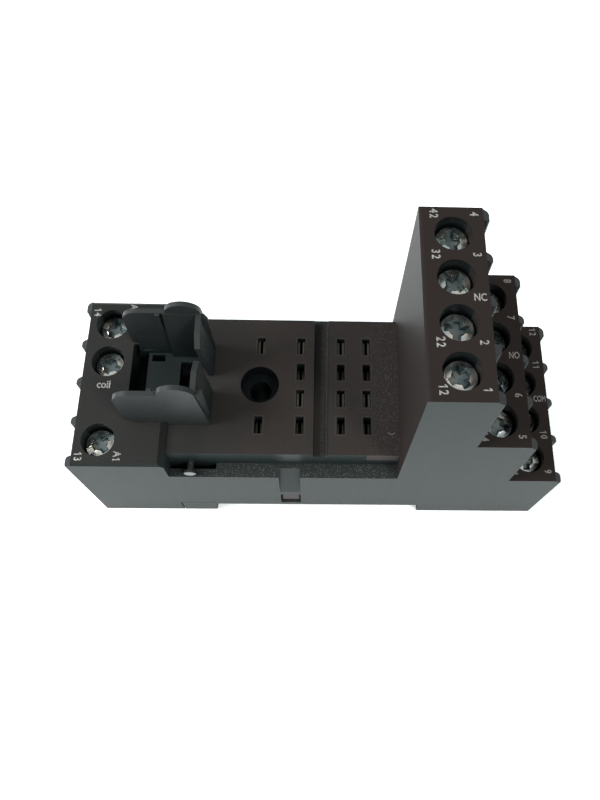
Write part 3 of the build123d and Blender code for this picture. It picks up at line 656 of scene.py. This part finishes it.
def temporary(name, mesh):
    """A helper object made from a bmesh in millimetres, there only until it is cut."""
    helper = bpy.data.objects.new(name, stored(name, mesh))
    bpy.context.collection.objects.link(helper)
    return helper


def cut(body, cutters):
    """The body's mesh with the cutters taken out."""
    for cutter in cutters:
        modifier = body.modifiers.new(cutter.name, "BOOLEAN")
        modifier.operation = "DIFFERENCE"
        modifier.solver = "EXACT"
        modifier.object = cutter
    mesh = evaluated_mesh(body)
    for helper in [body, *cutters]:
        bpy.data.objects.remove(helper)
    return mesh


def screw_mesh(length):
    """Whole screw, scaled to metres, with painted shade on the walls and floor of its recess."""
    head = temporary("screw_head", head_mesh())
    cross = 2 * CROSS_RADIUS
    cutters = [temporary("slot", box_mesh(SLOT_REACH, SLOT_WIDTH, -SLOT_DEPTH, SLOT_OVERRUN))]
    for name, size in (("cross_a", (cross, CROSS_WIDTH)), ("cross_b", (CROSS_WIDTH, cross))):
        cutters.append(temporary(name, box_mesh(*size, -CROSS_DEPTH, CROSS_OVERRUN, CROSS_TAPER)))
    cutters.append(temporary("dish", dish_mesh()))
    data = cut(head, cutters)
    mesh = bmesh.new()
    mesh.from_mesh(data)
    add_shank(mesh, length - HEAD_HEIGHT)
    bmesh.ops.scale(mesh, vec=(MM, MM, MM), verts=mesh.verts)
    mesh.to_mesh(data)
    mesh.free()
    data.materials.clear()
    data.materials.append(finishes["screw"])
    data.materials.append(finishes["recess"])
    for face in data.polygons:
        x, y, z = face.center / MM
        inside = math.hypot(x, y) < HEAD_RADIUS - HEAD_BEVEL and -HEAD_HEIGHT < z < -HEAD_CROWN
        wall = abs(face.normal.z) < UPRIGHT_BELOW
        face.material_index = 1 if inside and (wall or z < -SHADED_FLOOR_FROM) else 0
    return data


def place_screws():
    """One detailed screw in place of each CAD screw."""
    names = [node for node in frame["nodes"] if node.startswith("screw_")]
    low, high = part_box(names[0])
    data = screw_mesh((high[2] - low[2]) / MM)
    for index, node in enumerate(names):
        low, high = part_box(node)
        name = node.removeprefix("screw_")
        angle = math.radians(DRIVER_ANGLES.get(name, FIRST_ANGLE + ANGLE_STEP * index))
        piece = new_piece("driver_" + node, data, finishes["screw"], node)
        middle = Vector(((low[0] + high[0]) / 2, (low[1] + high[1]) / 2, high[2]))
        piece.matrix_world = Matrix.Translation(middle) @ Matrix.Rotation(angle, 4, "Z")
        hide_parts(node)


place_screws()


# Printed marks: contact numbers and row names

DIGIT_SIZE = 1.55
DIGIT_NARROWING = 0.82
DIGIT_PITCH = 0.62
WORD_SIZE = 1.45
COIL_WORD_SIZE = 1.7
INK_SPREAD = 0.03
INK_THICKNESS = 0.012
TEXT_CURVE_STEPS = 3
HEAD_SINK = 1.7
INNER_OFFSET = -2.5
OUTER_OFFSET = 2.8
MARK_SHIFT = 0.27
MARK_PITCH = 6.1
MARK_PLACES = (2, 1, -1, -2)
ROWS = {
    "nc": (("42", "32", "22", "12"), ("4", "3", "2", "1"), "NC"),
    "no": (("44", "34", "24", "14"), ("8", "7", "6", "5"), "NO"),
    "com": (("41", "31", "21", "11"), ("12", "11", "10", "9"), "COM"),
}
COIL_MARKS = (
    ("14", "coil_a2", -2.6, 2.05),
    ("A2", "coil_a2", 3.0, 2.7),
    ("13", "coil_a1", -2.6, -2.6),
    ("A1", "coil_a1", 3.1, -2.6),
    ("coil", "coil_a2_link", -0.15, -3.95),
)
# Size and narrowing of each word
WORDS = {
    "NC": (WORD_SIZE, 0.78),
    "NO": (WORD_SIZE, 0.69),
    "COM": (WORD_SIZE, 0.62),
    "coil": (COIL_WORD_SIZE, 0.88),
}
# The figure one, with its flag, for a size of 1
ONE_OUTLINE = (
    (-0.02, -0.36),
    (0.1, -0.36),
    (0.1, 0.36),
    (0.0, 0.36),
    (-0.18, 0.22),
    (-0.18, 0.1),
    (-0.02, 0.2),
)


def screw_place(name):
    """Middle of a screw and the top of its block, in millimetres."""
    low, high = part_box("screw_" + name)
    return (low[0] + high[0]) / 2 / MM, (low[1] + high[1]) / 2 / MM, high[2] / MM + HEAD_SINK


def one_mesh():
    """The figure one, centred and in metres."""
    mesh = bmesh.new()
    half = INK_THICKNESS / 2 / DIGIT_SIZE
    stack(mesh, [level(mesh, ONE_OUTLINE, -half), level(mesh, ONE_OUTLINE, half)])
    return stored("one", mesh, DIGIT_SIZE * MM)


def text_mesh(text, size):
    """Letters or a figure, centred and in metres."""
    curve = bpy.data.curves.new("text", "FONT")
    curve.body = text
    curve.align_x = "CENTER"
    curve.align_y = "CENTER"
    curve.size = size * MM
    curve.extrude = INK_THICKNESS / 2 * MM
    curve.offset = INK_SPREAD * MM
    curve.resolution_u = TEXT_CURVE_STEPS
    helper = bpy.data.objects.new("text", curve)
    bpy.context.collection.objects.link(helper)
    data = evaluated_mesh(helper)
    bpy.data.objects.remove(helper)
    return data


def number_marks(text, x, y, z):
    """The figures of one number side by side along Y."""
    step = DIGIT_PITCH * DIGIT_NARROWING * DIGIT_SIZE
    first = y + step * (len(text) - 1) / 2
    return [(figure, x, first - step * k, z) for k, figure in enumerate(text)]


def mark(text, x, y, z):
    """A word or a figure in its place; figures are turned with their tops towards +X."""
    size, narrowing = WORDS.get(text, (DIGIT_SIZE, DIGIT_NARROWING))
    turn = Matrix.Rotation(0 if text in WORDS else -math.pi / 2, 4, "Z")
    narrow = Matrix.Diagonal((narrowing, 1, 1, 1))
    data = one_mesh() if text == "1" else text_mesh(text, size)
    data.transform(Matrix.Translation(Vector((x, y, z)) * MM) @ turn @ narrow)
    return data


def print_piece(name, marks):
    """All the marks of one block as one piece."""
    whole = bmesh.new()
    for text, x, y, z in marks:
        whole.from_mesh(mark(text, x, y, z + INK_THICKNESS / 2))
    data = bpy.data.meshes.new(name)
    whole.to_mesh(data)
    whole.free()
    new_piece(name, data, ink, "housing")


def print_marks():
    """The marks of each row and of the coil block."""
    for row, (inner, outer, word) in ROWS.items():
        x, _, top = screw_place(row + "_1")
        marks = [(word, x + OUTER_OFFSET, MARK_SHIFT, top)]
        for place, inner_text, outer_text in zip(MARK_PLACES, inner, outer):
            y = MARK_SHIFT + place * MARK_PITCH
            marks += number_marks(inner_text, x + INNER_OFFSET, y, top)
            marks += number_marks(outer_text, x + OUTER_OFFSET, y, top)
        print_piece("print_" + row, marks)
    marks = []
    for text, screw, dx, dy in COIL_MARKS:
        x, y, top = screw_place(screw)
        if text in WORDS:
            marks.append((text, x + dx, y + dy, top))
        else:
            marks += number_marks(text, x + dx, y + dy, top)
    print_piece("print_coil", marks)


print_marks()


# Small moulded marks: pad and gate mark on the relay plate's front, peg ends with a painted highlight,
# and an arrow on the plate

def side_face(y, outward):
    """A side face at y: an outline's first number runs along X, its second along Z."""
    return Matrix(((1, 0, 0, 0), (0, 0, outward, y), (0, 1, 0, 0), (0, 0, 0, 1)))


FRONT_FACE = side_face(PLATE_FRONT, -1)
PEG_FACE = side_face(-PEG_END_Y, -1)
BACK_PEG_FACE = side_face(PEG_END_Y, 1)
TOP_FACE = Matrix.Translation((0, 0, PLATE_TOP))
PAD_LEFT = 6.85
PAD_RIGHT = TOWER_FOOT - 0.05
PAD_LOW = 25.0
PAD_HIGH = 27.45
PAD_OUTLINE = ((PAD_LEFT, PAD_LOW), (PAD_RIGHT, PAD_LOW), (PAD_RIGHT, PAD_HIGH), (PAD_LEFT, PAD_HIGH))
GATE_OUTLINE = circle(0.5, ROUND_STEPS, middle=(-6.4, 25.3))
PEG_OUTLINE = circle(0.9, ROUND_STEPS, middle=(-20.25, 23.5))
ARROW_OUTLINE = (
    (10.2, -7.7),
    (10.67, -8.05),
    (11.14, -7.7),
    (11.14, -7.58),
    (10.67, -7.92),
    (10.2, -7.58),
)


def moulded_mark(name, outline, face, height, shrink, finish):
    """A low raised shape on a face of the housing, with edges that slope inwards."""
    mesh = bmesh.new()
    middle_u = sum(u for u, v in outline) / len(outline)
    middle_v = sum(v for u, v in outline) / len(outline)
    inner = [(middle_u + (u - middle_u) * shrink, middle_v + (v - middle_v) * shrink) for u, v in outline]
    foot = level(mesh, outline, 0)
    top = level(mesh, inner, height)
    join_rings(mesh, foot, top)
    mesh.faces.new(top)
    mesh.transform(Matrix.Scale(MM, 4) @ face)
    new_piece(name, stored(name, mesh), finish, "housing")


moulded_mark("plate_side_pad", PAD_OUTLINE, FRONT_FACE, height=0.06, shrink=0.985, finish=finishes["pad"])
moulded_mark("gate_mark", GATE_OUTLINE, FRONT_FACE, height=0.14, shrink=0.55, finish=finishes["housing"])
# Peg ends whose pale tone is a painted highlight.
moulded_mark("front_peg_highlight", PEG_OUTLINE, PEG_FACE, height=0.1, shrink=0.75, finish=finishes["painted_peg_highlight"])
moulded_mark("back_peg_highlight", PEG_OUTLINE, BACK_PEG_FACE, height=0.1, shrink=0.75, finish=finishes["painted_peg_highlight"])
moulded_mark("plate_arrow", ARROW_OUTLINE, TOP_FACE, height=0.03, shrink=1.0, finish=finishes["arrow"])


# Raised rims round the pin slots

PIN_PITCH = 4.4
CONTACT_COLUMNS = (-3, -1, 1, 3)
COIL_COLUMNS = (-3, 3)
# Step from the row before, starting at the tower's foot, and the columns of each row
PIN_ROWS = (
    (4.95, CONTACT_COLUMNS),
    (4.06, CONTACT_COLUMNS),
    (6.35, CONTACT_COLUMNS),
    (6.35, COIL_COLUMNS),
)
SLOT_HALF_X = 0.6
SLOT_HALF_Y = 1.35
RIM_GAP = 0.14
RIM_WIDTH = 0.1
RIM_HEIGHT = 0.03
# Margin and height of a rim's four edges
RIM_PROFILE = (
    (RIM_GAP + RIM_WIDTH, 0),
    (RIM_GAP + RIM_WIDTH, RIM_HEIGHT),
    (RIM_GAP, RIM_HEIGHT),
    (RIM_GAP, 0),
)


def add_rim(mesh, middle):
    """The rim of one pin slot, added to a bmesh in millimetres."""
    loops = []
    for margin, height in RIM_PROFILE:
        outline = oblong(SLOT_HALF_X + margin, SLOT_HALF_Y + margin, middle)
        loops.append(level(mesh, outline, PLATE_TOP + height))
    for first, second in zip(loops, loops[1:] + loops[:1]):
        join_rings(mesh, first, second)


def slot_rims():
    """The rims of all fourteen pin slots as one piece."""
    mesh = bmesh.new()
    x = TOWER_FOOT
    for step, columns in PIN_ROWS:
        x -= step
        for column in columns:
            add_rim(mesh, (x, column * PIN_PITCH / 2))
    new_piece("slot_rims", stored("slot_rims", mesh, MM), finishes["rim"], "housing")


slot_rims()


# Floor: pale paper, lit a little from below

FLOOR_SIZE = 6
FLOOR_ROUGHNESS = 0.6
FLOOR_DROP = 0.0002
FLOOR_COLOR = (0.91, 0.95, 0.955)
FLOOR_GLOW_COLOR = (0.88, 1, 1.02, 1)
FLOOR_GLOW = 0.23

bpy.ops.mesh.primitive_plane_add(size=FLOOR_SIZE, location=(0, 0, -FLOOR_DROP))
floor = bpy.context.object
floor.name = "floor"
paper, _, paper_shader = material("floor", FLOOR_COLOR, FLOOR_ROUGHNESS)
paper_shader.inputs["Emission Color"].default_value = FLOOR_GLOW_COLOR
paper_shader.inputs["Emission Strength"].default_value = FLOOR_GLOW
floor.data.materials.append(paper)


# Light: a pale horizon under a darker sky, and two soft lamps

SKY_COLOR = (0.93, 0.97, 1.0, 1)
HORIZON_STRENGTH = 0.85
SKY_STRENGTH = 0.5
HORIZON_UP_TO = 0.35
SKY_FROM = 0.75
LAMP_TARGET = (0, 0, 0.02)

world = bpy.data.worlds.new("world")
world.use_nodes = True
sky = world.node_tree
direction = add(sky, "TexCoord")
_, _, sky_height = axes(sky, direction.outputs["Generated"])
fade = remap(sky, sky_height, HORIZON_UP_TO, SKY_FROM, HORIZON_STRENGTH, SKY_STRENGTH)
sky.links.new(fade, sky.nodes["Background"].inputs["Strength"])
sky.nodes["Background"].inputs["Color"].default_value = SKY_COLOR
bpy.context.scene.world = world


def softbox(name, place, size, power, color):
    """A square soft lamp that faces the object."""
    data = bpy.data.lights.new(name, "AREA")
    data.size = size
    data.energy = power
    data.color = color
    lamp = bpy.data.objects.new(name, data)
    lamp.location = place
    lamp.rotation_euler = (Vector(LAMP_TARGET) - Vector(place)).to_track_quat("-Z", "Y").to_euler()
    bpy.context.collection.objects.link(lamp)


softbox("key", (-0.6, -0.05, 0.52), size=0.4, power=8.5, color=(1, 1, 1))
softbox("fill", (0.35, -0.35, 0.65), size=0.14, power=3.6, color=(1, 0.94, 0.86))


# Camera, at the photograph's viewing angle

FRAME_HEIGHT_PX = 800
FRAME_WIDTH_PX = 600
FOCAL_PX = 808.99
CENTRE_X_PX = 344.09
CENTRE_Y_PX = 322.11
PITCH = -64.65
ROLL = 5.41
YAW = -4.98
CAMERA_PLACE = (-1.54, -45.26, 146.88)
NEAREST = 0.01
SENSOR_WIDTH = 36

camera_data = bpy.data.cameras.new("camera")
camera_data.sensor_width = SENSOR_WIDTH
camera_data.lens = FOCAL_PX * SENSOR_WIDTH / FRAME_HEIGHT_PX
camera_data.shift_x = (FRAME_WIDTH_PX / 2 - CENTRE_X_PX) / FRAME_HEIGHT_PX
camera_data.shift_y = (CENTRE_Y_PX - FRAME_HEIGHT_PX / 2) / FRAME_HEIGHT_PX
camera_data.clip_start = NEAREST
camera = bpy.data.objects.new("camera", camera_data)
turn = Matrix.Rotation(math.radians(YAW), 4, "Z") @ Matrix.Rotation(math.radians(90 + PITCH), 4, "X")
turn = turn @ Matrix.Rotation(math.radians(ROLL), 4, "Z")
camera.matrix_world = Matrix.Translation(Vector(CAMERA_PLACE) * MM) @ turn
bpy.context.collection.objects.link(camera)
bpy.context.scene.camera = camera
bpy.context.scene.view_settings.view_transform = "Standard"
